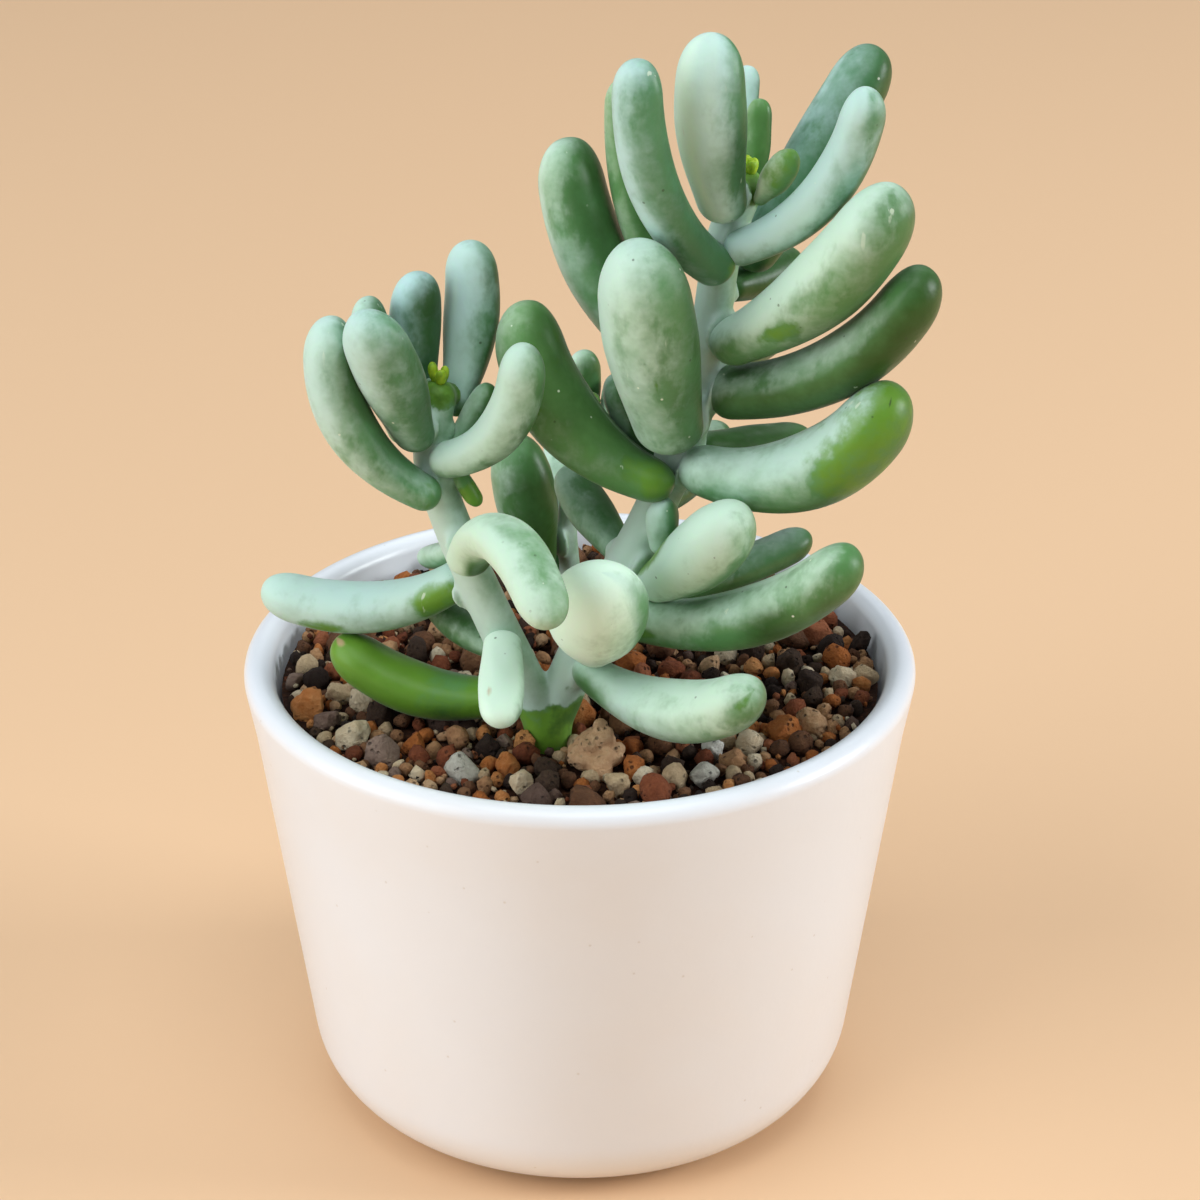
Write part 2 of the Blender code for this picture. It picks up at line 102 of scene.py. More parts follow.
# Leaves: stem, height on it, heading, rise and curl in degrees, length, width, the heel's share of the
# width, and how many degrees round the stem the heel sits from the heading.
# Heading 0 is to the right, 90 is away from the viewer. Curl bends the leaf upwards.
LEAVES = {
    "tall_leaf_01": ("tall", 117.6, -130, 67, 32, 20.6, 8.3, 0.69, 0),
    "tall_leaf_02": ("tall", 110.9, 220, 33, 64, 29.3, 6.4, 0.89, 19),
    "tall_leaf_03": ("tall", 96.2, 152, 36, 50, 30.7, 9.1, 0.52, 0),
    "tall_leaf_04": ("tall", 101.8, 146, 50, 44, 29.9, 5, 0.67, 0),
    "tall_leaf_05": ("tall", 92.9, -125, 68, 14, 26, 11.2, 0.71, 0),
    "tall_leaf_06": ("tall", 102.8, -27, 28, 37, 29.4, 10.4, 0.6, -22),
    "tall_leaf_07": ("tall", 113.5, -22, 20, 66, 25.6, 6.3, 0.75, -30),
    "tall_leaf_08": ("tall", 112.8, 34, 46, 10, 27.5, 8, 0.7, 0),
    "tall_leaf_09": ("tall", 96.2, -21, 3, 66, 30.2, 8.6, 0.84, 0),
    "tall_leaf_10": ("tall", 87.5, -16, -20, 93, 28.2, 10.4, 0.63, -20),
    "tall_leaf_11": ("tall", 89.2, 28, -18, 20, 14.5, 5.8, 0.66, 0),
    "tall_leaf_12": ("tall", 106.5, 50, -5, 12, 12, 6, 0.66, 0),
    "tall_leaf_13": ("tall", 84.6, 161, 7, 84, 27.3, 9.6, 0.58, 64),
    "tall_leaf_14": ("tall", 76.2, 128, 22, 20, 12, 5.6, 0.7, 0),
    "tall_leaf_15": ("tall", 76.4, -44, 36, 19, 18.4, 9.5, 0.58, 8),
    "tall_leaf_16": ("tall", 80, -72, 88, -6, 5.8, 3.8, 0.7, 0),
    "tall_leaf_17": ("tall", 71.4, -21, -7, 62, 31, 8.2, 0.68, 0),
    "tall_leaf_18": ("tall", 73.1, 26, -4, 21, 23.6, 5.2, 0.66, 0),
    "tall_leaf_19": ("tall", 67.4, -87, 48, 9, 20, 11.3, 0.4, 0),
    "tall_leaf_20": ("tall", 64, -38, -25, 71, 25.6, 8.3, 0.55, -17),
    "tall_leaf_21": ("tall", 87.5, 165, 46, 29, 10, 4.8, 0.66, 0),
    "tall_leaf_22": ("tall", 118.5, -52, 51, 5, 7.8, 4, 0.4, 0),
    "tall_leaf_23": ("tall", 118.5, 70, 79, 2, 9.9, 3.1, 0.65, 0),
    "tall_leaf_24": ("tall", 113.8, 78, 58, 12, 18.2, 3.3, 0.66, 0),
    "tall_leaf_25": ("tall", 98.5, 60, -18, 25, 17, 6, 0.66, 0),
    "tall_leaf_26": ("tall", 90, 112, 5, 40, 20, 6.5, 0.66, 0),
    "tall_leaf_27": ("tall", 82.5, 66, -4, 25, 17, 5.6, 0.66, 0),
    "left_leaf_01": ("left", 87, 186, 24, 79, 25.2, 7.2, 0.65, 53),
    "left_leaf_02": ("left", 92.8, -122, 66, -6, 19.8, 8, 0.59, 0),
    "left_leaf_03": ("left", 92.3, 176, 69, 16, 16.4, 5.2, 0.66, 0),
    "left_leaf_04": ("left", 96, 127, 78, 28, 15.5, 6.2, 0.69, 0),
    "left_leaf_05": ("left", 96.5, 58, 54, 48, 19, 6.6, 0.58, 0),
    "left_leaf_06": ("left", 89, -28, 12, 86, 20, 6.4, 0.75, -14),
    "left_leaf_07": ("left", 92.4, 6, 50, 20, 7.4, 4.2, 0.72, 0),
    "left_leaf_08": ("left", 79.6, -65, 67, -120, 27.2, 6.4, 0.81, 0),
    "left_leaf_09": ("left", 73.9, 166, -41, 61, 24.9, 7, 0.76, -13),
    "left_leaf_10": ("left", 77.2, 120, -36, 14, 9.2, 3.6, 0.66, 0),
    "left_leaf_11": ("left", 66.8, 135, 3, 31, 11.6, 5.3, 0.66, 0),
    "left_leaf_12": ("left", 61.3, 167, -22, 67, 21.9, 7.2, 0.71, 0),
    "left_leaf_13": ("left", 66.9, -90, -21, 7, 12.8, 5.2, 0.81, 0),
    "left_leaf_14": ("left", 86, -22, -62, 10, 4.6, 2.4, 0.66, 0),
    "left_leaf_15": ("left", 82, 100, 5, 40, 14, 5, 0.66, 0),
    "back_leaf_01": ("back", 80.1, 96, 87, 20, 10.5, 4.2, 0.66, 0),
    "back_leaf_02": ("back", 74.5, 5, 66, 25, 13.5, 4, 0.66, 0),
    "back_leaf_03": ("back", 65.5, 208, 82, -2, 17.3, 8.8, 0.62, 0),
    "back_leaf_04": ("back", 68, 95, 10, 30, 13, 4.6, 0.66, 0),
    "back_leaf_05": ("back", 56.8, 128, 84, 7, 9.5, 4, 0.6, 0),
}

# Leaf tones, mostly from 0 to 1: waxy bloom, dark old skin, yellow-green at the heel, fresh green towards the
# tip, blueness
# A bloom above 0.9 also paints light: the wax turns near-white.
TONES = {
    "tall_leaf_01": (1.02, 0.3, 0.0, 0.0, 0.8),
    "tall_leaf_02": (0.42, 0.3, 0.1, 0.0, 0.9),
    "tall_leaf_03": (0.24, 0.6, 0.0, 0.0, 0.4),
    "tall_leaf_04": (0.12, 0.6, 0.3, 0.3, 0.2),
    "tall_leaf_05": (0.58, 0.4, 0.0, 0.0, 0.5),
    "tall_leaf_06": (0.56, 0.4, 0.0, 0.0, 0.3),
    "tall_leaf_07": (0.92, 0.3, 0.0, 0.0, 0.8),
    "tall_leaf_08": (0.02, 0.8, 0.0, 0.0, 1.0),
    "tall_leaf_09": (-0.28, 0.9, 0.0, 0.0, 0.3),
    "tall_leaf_10": (0.42, 0.4, 0.0, 0.45, 0.5),
    "tall_leaf_11": (0.00, 0.9, 0.0, 0.0, 0.2),
    "tall_leaf_12": (0.10, 0.8, 0.1, 0.0, 0.3),
    "tall_leaf_13": (0.10, 0.6, 0.5, 0.3, 0.0),
    "tall_leaf_14": (0.24, 0.7, 0.0, 0.0, 0.5),
    "tall_leaf_15": (1.02, 0.1, 0.5, 0.0, 0.4),
    "tall_leaf_16": (0.70, 0.3, 0.0, 0.0, 0.6),
    "tall_leaf_17": (0.26, 0.5, 0.1, 0.0, 0.3),
    "tall_leaf_18": (0.25, 0.6, 0.0, 0.0, 0.6),
    "tall_leaf_19": (1.18, 0.0, 0.0, 0.0, 0.5),
    "tall_leaf_20": (0.60, 0.4, 0.0, 0.0, 0.4),
    "tall_leaf_21": (0.15, 0.8, 0.0, 0.0, 0.5),
    "tall_leaf_22": (0.55, 0.0, 0.5, 0.45, 0.0),
    "tall_leaf_23": (0.05, 0.5, 0.3, 0.3, 0.0),
    "tall_leaf_24": (0.95, 0.3, 0.0, 0.0, 0.8),
    "left_leaf_01": (0.54, 0.4, 0.4, 0.0, 0.6),
    "left_leaf_02": (0.60, 0.4, 0.0, 0.0, 0.8),
    "left_leaf_03": (0.40, 0.4, 0.0, 0.2, 0.5),
    "left_leaf_04": (0.62, 0.5, 0.0, 0.0, 0.9),
    "left_leaf_05": (0.74, 0.4, 0.4, 0.0, 0.7),
    "left_leaf_06": (0.76, 0.4, 0.0, 0.0, 0.4),
    "left_leaf_07": (0.20, 0.9, 0.0, 0.0, 0.3),
    "left_leaf_08": (0.90, 0.3, 0.0, 0.0, 0.3),
    "left_leaf_09": (0.90, 0.1, 0.0, 0.0, 0.6),
    "left_leaf_10": (0.40, 0.4, 0.0, 0.2, 0.4),
    "left_leaf_11": (0.05, 0.9, 0.0, 0.0, 0.3),
    "left_leaf_12": (-0.50, 0.5, 0.7, 0.6, 0.0),
    "left_leaf_13": (1.18, 0.1, 0.0, 0.0, 0.8),
    "left_leaf_14": (0.05, 0.2, 0.8, 0.8, 0.0),
    "back_leaf_03": (0.00, 0.8, 0.0, 0.0, 0.4),
}
USUAL_TONES = (0.4, 0.6, 0.1, 0.0, 0.4)
TONE_NAMES = ("bloom", "old", "fresh", "tan", "spot", "cool", "sun")

# Marks seen on single leaves: kind, place along the leaf from heel to tip, degrees round it from the viewer's
# side (90 is the right edge with the tip held up), length and width in millimetres, strength
# Painted light in the marks: narrow bloom strips along a leaf's edges are a painted pale rim highlight, negative bloom
# down a leaf's right side is painted shade, and the old mark low on left_leaf_12 is painted shade on its lower side.
MARKS = {
    "tall_leaf_01": [("bloom", 0.5, 75, 30, 8, -0.8), ("fresh", 0.25, 20, 4, 3, 0.35), ("bloom", 0.35, 0, 8, 6, -0.3),
                     ("bloom", 0.5, -60, 20, 4, 0.3)],
    "tall_leaf_02": [("fresh", 0.04, 0, 3, 5, 0.6), ("bloom", 0.5, -65, 28, 2.4, 0.4)],
    "tall_leaf_03": [("bloom", 0.5, 35, 20, 5, -0.3), ("bloom", 0.6, -75, 24, 2.4, 0.5)],
    "tall_leaf_05": [("bloom", 0.6, -75, 20, 3, 0.4), ("bloom", 0.2, 50, 10, 8, -0.2),
                     ("fresh", 0.42, -10, 5, 1.2, 0.45)],
    "tall_leaf_06": [("bloom", 0.62, -40, 20, 6, 0.35), ("bloom", 0.1, 30, 8, 9, -0.4), ("fresh", 0.34, 30, 8, 5, 0.65),
                     ("bloom", 0.97, -10, 8, 9, -0.3), ("spot", 0.95, -40, 0.8, 0.8, 0.6)],
    "tall_leaf_07": [("bloom", 0.92, 30, 4, 3, -0.5), ("bloom", 0.5, 80, 20, 2, -0.4),
                     ("spot", 0.83, 40, 0.7, 0.7, 0.6)],
    "tall_leaf_08": [("bloom", 0.8, -80, 10, 2, 0.3), ("bloom", 0.93, 60, 4, 2, 0.5)],
    "tall_leaf_09": [("bloom", 0.45, -40, 22, 8, 0.55), ("bloom", 0.08, 0, 5, 6, 0.4), ("bloom", 0.6, 60, 22, 5, -0.3),
                     ("fresh", 0.4, 60, 4, 2, 0.4)],
    "tall_leaf_10": [("bloom", 0.06, 0, 5, 8, 0.2), ("fresh", 0.8, 10, 22, 9, 0.25), ("bloom", 0.72, -30, 26, 9, 0.45),
                     ("spot", 0.97, 10, 1.6, 1.6, 0.5), ("bloom", 0.4, 80, 14, 3, -0.4)],
    "tall_leaf_13": [("fresh", 0.12, 0, 11, 9, 0.3), ("bloom", 0.5, 80, 24, 1.4, 0.7), ("bloom", 0.8, 20, 10, 8, 0.15)],
    "tall_leaf_15": [("fresh", 0.35, -70, 11, 7, 0.9), ("bloom", 0.35, -70, 11, 7, -0.6), ("spot", 0.8, 30, 0.7, 0.7, 0.5),
                     ("bloom", 0.5, 80, 12, 3, -0.6)],
    "tall_leaf_16": [("bloom", 0.7, 60, 4, 3, -0.6)],
    "tall_leaf_17": [("bloom", 0.5, -80, 24, 1.8, 0.8), ("old", 0.62, 20, 7, 6, 0.6), ("bloom", 0.6, 30, 10, 7, -0.3),
                     ("fresh", 0.14, 40, 5, 3, 0.5), ("bloom", 0.36, -20, 9, 5, 0.2)],
    "tall_leaf_19": [("bloom", 0.6, 85, 16, 3, -0.5)],
    "tall_leaf_20": [("bloom", 0.12, 50, 8, 6, -0.9), ("old", 0.12, 50, 8, 6, 0.5), ("fresh", 0.96, 20, 5, 5, 0.5),
                     ("bloom", 0.6, -50, 12, 3, 0.2)],
    "tall_leaf_22": [("bloom", 0.5, -80, 6, 1, 0.4), ("bloom", 0.5, 80, 6, 1, 0.4)],
    "tall_leaf_23": [("bloom", 0.6, 80, 8, 0.8, 0.8)],
    "left_leaf_01": [("bloom", 0.5, 60, 16, 3, -0.3), ("bloom", 0.5, -40, 16, 2.4, 0.3)],
    "left_leaf_02": [("bloom", 0.7, -50, 10, 4, 0.25)],
    "left_leaf_04": [("bloom", 0.6, 50, 8, 4, -0.2)],
    "left_leaf_05": [("bloom", 0.7, -50, 10, 3, 0.3)],
    "left_leaf_06": [("bloom", 0.6, -60, 12, 2.4, 0.3)],
    "left_leaf_08": [("bloom", 0.1, 60, 6, 5, -0.9), ("old", 0.1, 60, 6, 5, 0.5), ("bloom", 0.66, -30, 15, 6, -0.7)],
    "left_leaf_09": [("fresh", 0.16, -20, 9, 9, 0.8), ("fresh", 0.68, -60, 9, 4, 0.6)],
    "left_leaf_12": [("fresh", 0.5, 0, 60, 20, 0.5), ("tan", 0.99, 0, 2, 3, 0.8), ("old", 0.4, -50, 26, 5, 0.5)],
    "left_leaf_13": [("tan", 0.75, 50, 2.4, 1.2, 0.6), ("fresh", 0.05, 50, 2, 3, 0.5)],
}

BLADE_HEEL = 0.6              # width at a bud blade's foot, as a share of its width

# Buds at the stem tips: stem, core radius, then blades of heading, rise, length, width
BUDS = {
    "tall_tip_buds": ("tall", 0.9, [(200, 62, 2.6, 1.4), (290, 60, 2.4, 1.3), (20, 70, 2.2, 1.2),
                                    (110, 72, 2.4, 1.2)]),
    "left_tip_buds": ("left", 0.9, [(170, 70, 3.0, 1.4), (280, 62, 2.6, 1.3), (40, 68, 2.4, 1.2)]),
}

# Large grains that the photograph shows one by one: x, y, width across, kind
LARGE_GRAINS = [
    (-31.5, -9.5, 4.6, "orange"), (-28.4, -6.0, 3.2, "cream"), (-25.6, -8.2, 3.6, "cream"),
    (-26.5, -17.0, 4.2, "cream"), (-23.1, -12.0, 4.0, "black"), (-15.6, -12.4, 4.6, "violet"),
    (-22.4, -21.0, 4.6, "violet"), (-19.0, -18.5, 3.2, "orange"), (-13.2, -25.0, 4.3, "white"),
    (-8.0, -24.4, 3.0, "orange"), (-6.4, -28.6, 3.2, "cream"), (4.2, -28.4, 3.4, "cream"),
    (7.4, -26.6, 3.0, "cream"), (14.0, -26.0, 3.8, "white"), (15.2, -20.4, 3.2, "white"),
    (17.6, -23.0, 3.6, "tan"), (23.6, -15.6, 4.8, "orange"), (26.8, -14.0, 4.2, "tan"),
    (10.8, -23.8, 3.2, "black"), (25.2, 1.0, 4.2, "black"), (27.4, -4.0, 3.8, "black"),
    (20.8, 4.4, 3.8, "black"), (34.0, 6.4, 3.4, "black"), (29.4, 8.4, 4.6, "red"),
    (31.2, -2.6, 3.4, "cream"), (34.0, -2.0, 3.0, "cream"), (-3.8, -25.4, 3.0, "black"),
    (-10.5, -20.0, 3.6, "black"), (-6.4, -18.8, 2.8, "orange"), (-29.5, -13.0, 3.4, "violet"),
]
LUMP = (2.2, -21.6, 8.4)      # the crumbly tan lump: x, y, width across
GRAIN_KINDS = {"black": 0.24, "red": 0.14, "brown": 0.15, "tan": 0.18, "cream": 0.11, "orange": 0.13,
               "violet": 0.05}


def screen(red, green, blue):
    """A colour as a screen shows it, from 0 to 255, turned into the scene's linear light."""
    return tuple((c / 255 / 12.92) if c < 10 else ((c / 255 + 0.055) / 1.055) ** 2.4 for c in (red, green, blue))


def colour_property(name, description, default):
    return bpy.props.FloatVectorProperty(name=name, description=description, default=default, subtype="COLOR",
                                         size=3, min=0, max=1)


def share_property(name, description, default):
    return bpy.props.FloatProperty(name=name, description=description, default=default, min=0, max=1,
                                   subtype="FACTOR")


def length_property(name, description, default):
    return bpy.props.FloatProperty(name=name, description=description, default=default, min=0, unit="LENGTH",
                                   precision=5)


def count_property(name, description, default):
    return bpy.props.IntProperty(name=name, description=description, default=default, min=0)


def power_property(name, description, default):
    return bpy.props.FloatProperty(name=name, description=description, default=default, min=0)


class SEDUM_PG_pot(bpy.types.PropertyGroup):
    """The pot's glaze."""

    glaze: colour_property("Glaze", "Colour of the glaze", screen(238, 243, 251))
    roughness: share_property("Roughness", "How satin the glaze is", 0.34)


class SEDUM_PG_plant(bpy.types.PropertyGroup):
    """Colours and small sizes of leaves, stems and buds."""

    bloom: colour_property("Bloom", "Colour of the waxy coat", screen(208, 233, 203))
    blue_bloom: colour_property("Blue bloom", "Colour of the coat on the bluest leaves", screen(188, 223, 222))
    skin: colour_property("Skin", "Leaf skin where the coat is thin", screen(98, 150, 84))
    old_skin: colour_property("Old skin", "Leaf skin of old shaded leaves", screen(44, 82, 22))
    fresh: colour_property("Fresh green", "Young or rubbed leaf skin", screen(106, 154, 40))
    bud: colour_property("Bud", "Young tissue at the stem tips", screen(176, 205, 48))
    heel_depth: length_property("Heel depth", "How far a leaf's heel reaches over its stem", 1.3 * MM)
    unevenness: length_property("Unevenness", "Height of the soft dents in a leaf", 0.08 * MM)


class SEDUM_PG_soil(bpy.types.PropertyGroup):
    """Amount of loose grit."""

    crumbs: count_property("Crumbs", "Number of crumbs under 2 mm", 1500)
    grains: count_property("Grains", "Number of grains of 2 to 4 mm", 760)
    seed: count_property("Seed", "Seed of the grit's places and forms", 5)


class SEDUM_PG_stage(bpy.types.PropertyGroup):
    """Floor and lights."""

    floor: colour_property("Floor", "Colour of the floor", screen(236, 197, 158))
    left_power: power_property("Left light", "Power of the left softbox in watts", 11.3)
    right_power: power_property("Right light", "Power of the right softbox in watts", 6.4)
    top_power: power_property("Top light", "Power of the softbox overhead in watts", 6.3)
    back_power: power_property("Back light", "Power of the softbox behind the plant in watts", 1.8)


class Wire:
    """A shader socket that takes part in sums: an expression on wires adds the Math nodes for it."""

    def __init__(self, finish, socket):
        self.finish = finish
        self.socket = socket

    def __add__(self, other):
        return self.finish.maths("ADD", self, other)

    def __radd__(self, other):
        return self.finish.maths("ADD", other, self)

    def __sub__(self, other):
        return self.finish.maths("SUBTRACT", self, other)

    def __rsub__(self, other):
        return self.finish.maths("SUBTRACT", other, self)

    def __mul__(self, other):
        return self.finish.maths("MULTIPLY", self, other)

    def __rmul__(self, other):
        return self.finish.maths("MULTIPLY", other, self)

    def __truediv__(self, other):
        return self.finish.maths("DIVIDE", self, other)


class Finish:
    """A material being made, with its Principled shader."""

    def __init__(self, name, **constants):
        self.material = bpy.data.materials.new(name)
        self.material.use_nodes = True
        self.tree = self.material.node_tree
        self.shader = self.tree.nodes["Principled BSDF"]
        for socket, value in constants.items():
            self.shader.inputs[socket.replace("_", " ")].default_value = value

    def node(self, kind, settings=None, sockets=None, output=0):
        """Add a node: its settings first, then a value or a link for each socket named."""
        made = self.tree.nodes.new(kind)
        for name, value in (settings or {}).items():
            if name == "stops":
                self.set_stops(made.color_ramp, value)
            else:
                setattr(made, name, value)
        for name, value in (sockets or {}).items():
            self.feed(made.inputs[name], value)
        return Wire(self, made.outputs[output])

    def feed(self, socket, value):
        if isinstance(value, Wire):
            self.tree.links.new(value.socket, socket)
        elif socket.type == "RGBA" and len(value) == 3:
            socket.default_value = (*value, 1)
        else:
            socket.default_value = value

    def set_stops(self, ramp, stops):
        while len(ramp.elements) < len(stops):
            ramp.elements.new(0.5)
        for element, (place, colour) in zip(ramp.elements, stops):
            element.position = place
            element.color = (*colour, 1)

    def maths(self, operation, *values):
        return self.node("ShaderNodeMath", {"operation": operation}, dict(enumerate(values)))

    def place(self):
        return self.node("ShaderNodeTexCoord", output="Object")

    def attribute(self, name):
        return self.node("ShaderNodeAttribute", {"attribute_name": name}, output="Fac")

    def cloud(self, size, detail=3, roughness=0.5, stretch=None, place=None):
        """Soft noise from 0 to 1 whose blotches are about size metres across."""
        where = place or self.place()
        if stretch:
            where = self.node("ShaderNodeMapping", {}, {"Vector": where, "Scale": stretch})
        sockets = {"Vector": where, "Scale": 1 / size, "Detail": detail, "Roughness": roughness}
        return self.node("ShaderNodeTexNoise", {}, sockets)

    def cells(self, size, feature="F1", output="Distance"):
        sockets = {"Vector": self.place(), "Scale": 1 / size}
        return self.node("ShaderNodeTexVoronoi", {"feature": feature}, sockets, output)

    def step(self, value, low, high):
        """0 below low, 1 above high, smooth between. Low may be above high."""
        settings = {"interpolation_type": "SMOOTHSTEP"}
        sockets = {"Value": value, "From Min": low, "From Max": high}
        if low > high:
            sockets.update({"From Min": high, "From Max": low, "To Min": 1.0, "To Max": 0.0})
        return self.node("ShaderNodeMapRange", settings, sockets)

    def mix(self, first, second, share, blend="MIX"):
        settings = {"data_type": "RGBA", "blend_type": blend}
        return self.node("ShaderNodeMix", settings, {0: share, 6: first, 7: second}, output=2)

    def ramp(self, value, stops):
        return self.node("ShaderNodeValToRGB", {"stops": stops}, {"Fac": value})

    def bump(self, height, distance, strength=1.0, below=None):
        sockets = {"Height": height, "Distance": distance, "Strength": strength}
        if below:
            sockets["Normal"] = below
        return self.node("ShaderNodeBump", {}, sockets)

    def wear(self, **links):
        """Link what varies over the surface to the shader."""
        for name, value in links.items():
            self.feed(self.shader.inputs[name.replace("_", " ")], value)
        return self.material


# Finishes

def glaze_finish(look):
    """Satin white glaze with faint waves, a few pinpricks and warm grey blotches of painted shade."""
    finish = Finish("white_glaze", Coat_Weight=0.25, Coat_Roughness=0.12, IOR=1.5)
    waves = finish.cloud(0.014, detail=2)
    grain = finish.cloud(0.0011, detail=2)
    pricks = finish.step(finish.cells(0.0042), 0.055, 0.02)
    # painted shade: warm grey blotches in a shadow tone of the glaze, laid at random by soft noise
    tint = finish.mix(look.glaze, screen(236, 230, 225), finish.step(finish.cloud(0.03), 0.35, 0.8) * 0.35)
    colour = finish.mix(tint, screen(196, 186, 176), pricks * 0.35)
    rough = look.roughness + (grain - 0.5) * 0.12 + (waves - 0.5) * 0.08
    normal = finish.bump(waves, 0.0004, 0.35, finish.bump(grain - pricks, 0.00004, 0.5))
    return finish.wear(Base_Color=colour, Roughness=rough, Normal=normal)


def leaf_finish(look):
    """Green skin under a pale waxy bloom, which is rubbed off in patches, scratches and specks, with painted light and
    shade: paler wax and lighter skin on the lit side, darker old skin on the side away from the light, and near-white
    wax on the most bloomed leaves.
    """
    finish = Finish("leaf_skin", Subsurface_Weight=0.16, Subsurface_Radius=(0.35, 1.0, 0.3), Subsurface_Scale=0.0012,
                    Sheen_Weight=0.12, Sheen_Roughness=0.4, IOR=1.42)
    bloom, old, fresh, tan, spot, cool, sun = (finish.attribute(name) for name in TONE_NAMES)
    broad = finish.cloud(0.008, detail=4, roughness=0.62)
    fine = finish.cloud(0.002, detail=5, roughness=0.65)
    rubbed = finish.cloud(0.0035, detail=4, roughness=0.6, stretch=(1, 1, 0.55))
    # shade: old skin from the leaf's age, plus painted shade on the side facing away from the light
    shade = finish.step(old * 0.8 - (sun - 0.5) * 0.8 + (broad - 0.5) * 1.1, 0.0, 1.0)
    skin = finish.mix(look.skin, screen(76, 138, 106), cool * 0.7)
    skin = finish.mix(skin, look.old_skin, shade)
    young = finish.step(fresh + (broad - 0.5) * 0.9 + (fine - 0.5) * 0.5, 0.28, 0.78)
    # fresh patches are darkened by the same mix of age and painted shade
    skin = finish.mix(skin, finish.mix(look.fresh, look.old_skin, shade * 0.3), young * 0.9)
    # the coat is painted paler on the lit side and thinner on the shaded side, through sun
    coat = bloom + (sun - 0.5) * 1.2 + (broad - 0.5) * 0.9 + (fine - 0.5) * 0.42 - young
    coat = finish.step(coat - finish.step(rubbed, 0.5, 0.66) * 0.22, 0.1, 1.2)
    scratch_field = finish.cloud(0.0014, detail=3, stretch=(1, 1, 0.16))
    scratches = finish.step(scratch_field, 0.7, 0.73) * finish.step(finish.cloud(0.008), 0.48, 0.6)
    wax = finish.mix(look.bloom, look.blue_bloom, cool + (finish.cloud(0.018, detail=2) - 0.5) * 0.8)
    # painted light: leaves whose bloom tone is over 0.9 get near-white wax, standing in for the light that falls on
    # them
    wax = finish.mix(wax, screen(226, 252, 230), finish.step(bloom, 0.9, 1.3))
    colour = finish.mix(skin, wax, coat)
    colour = finish.mix(colour, screen(222, 236, 214), scratches * 0.6)
    specks = finish.step(finish.cells(0.0024), 0.085, 0.05) * finish.step(finish.cloud(0.012), 0.5, 0.58)
    colour = finish.mix(colour, screen(46, 62, 34), finish.maths("MAXIMUM", specks * 0.6, finish.step(spot, 0.3, 0.5)))
    colour = finish.mix(colour, screen(196, 164, 132), finish.step(tan + (fine - 0.5) * 0.5, 0.25, 0.7) * 0.8)
    flecks = finish.step(finish.cells(0.0034), 0.055, 0.03) * finish.step(finish.cloud(0.01, detail=1), 0.5, 0.58)
    colour = finish.mix(colour, screen(236, 243, 226), flecks * 0.8)
    rough = 0.4 + coat * 0.22 + (fine - 0.5) * 0.14
    normal = finish.bump(broad, 0.0005, 0.3, finish.bump(fine - scratches * 0.5, 0.00009, 0.45))
    return finish.wear(Base_Color=colour, Roughness=rough, Normal=normal)


def stem_finish(look):
    """Thick pale bloom on the stem, bright green where it leaves the soil, painted paler on the lit side and greener on
    the side in shade.
    """
    finish = Finish("stem_skin", Subsurface_Weight=0.12, Subsurface_Radius=(0.35, 1.0, 0.3), Subsurface_Scale=0.0012,
                    Sheen_Weight=0.2, Sheen_Roughness=0.5, IOR=1.42)
    sun = finish.attribute("sun")
    broad = finish.cloud(0.005, detail=4, roughness=0.6)
    fresh = finish.step(finish.attribute("fresh") + (broad - 0.5) * 2.2, 0.3, 0.75)
    fine = finish.cloud(0.0014, detail=4, roughness=0.6)
    skin = finish.mix(screen(104, 148, 98), look.fresh, fresh)
    skin = finish.mix(skin, look.old_skin, finish.step(broad, 0.42, 0.62) * fresh * 0.7)
    # painted light and shade: the coat is paler on the side facing the light and thinner, greener on the far side
    coat = 0.86 + (sun - 0.5) * 0.9 + (broad - 0.5) * 1.0 + (fine - 0.5) * 0.4 - fresh * 1.6
    colour = finish.mix(skin, screen(194, 219, 206), finish.step(coat, 0.15, 1.1))
    normal = finish.bump(broad, 0.0004, 0.3, finish.bump(fine, 0.00008, 0.4))
    return finish.wear(Base_Color=colour, Roughness=0.5 + (fine - 0.5) * 0.2, Normal=normal)


def bud_finish(look):
    finish = Finish("bud_skin", Subsurface_Weight=0.25, Subsurface_Radius=(0.5, 1.0, 0.15), Subsurface_Scale=0.001,
                    IOR=1.42)
    fine = finish.cloud(0.0009, detail=3)
    colour = finish.mix(look.bud, screen(140, 176, 46), finish.step(fine, 0.4, 0.65))
    return finish.wear(Base_Color=colour, Roughness=0.4 + fine * 0.15, Normal=finish.bump(fine, 0.0001, 0.3))


def bed_finish():
    """Dark dust between the grains."""
    finish = Finish("soil_dust", IOR=1.3)
    grit = finish.cloud(0.0012, detail=6, roughness=0.7)
    colour = finish.ramp(grit, [(0.3, screen(24, 14, 10)), (0.55, screen(62, 36, 24)), (0.75, screen(118, 74, 46))])
    return finish.wear(Base_Color=colour, Roughness=0.95, Normal=finish.bump(grit, 0.0006, 0.9))


GRAIN_COLOURS = {
    "black": [(26, 18, 14), (54, 38, 30), (92, 70, 54)],
    "red": [(84, 40, 26), (144, 78, 48), (192, 120, 82)],
    "brown": [(66, 42, 28), (122, 82, 56), (170, 124, 88)],
    "tan": [(138, 92, 60), (206, 156, 112), (236, 202, 162)],
    "lump": [(146, 94, 60), (224, 166, 120), (252, 210, 166)],
    "cream": [(166, 130, 94), (234, 206, 166), (252, 238, 210)],
    "orange": [(126, 62, 24), (200, 118, 58), (236, 170, 108)],
    "violet": [(74, 54, 46), (122, 96, 84), (172, 146, 130)],
    "white": [(176, 168, 152), (232, 228, 214), (250, 248, 240)],
}


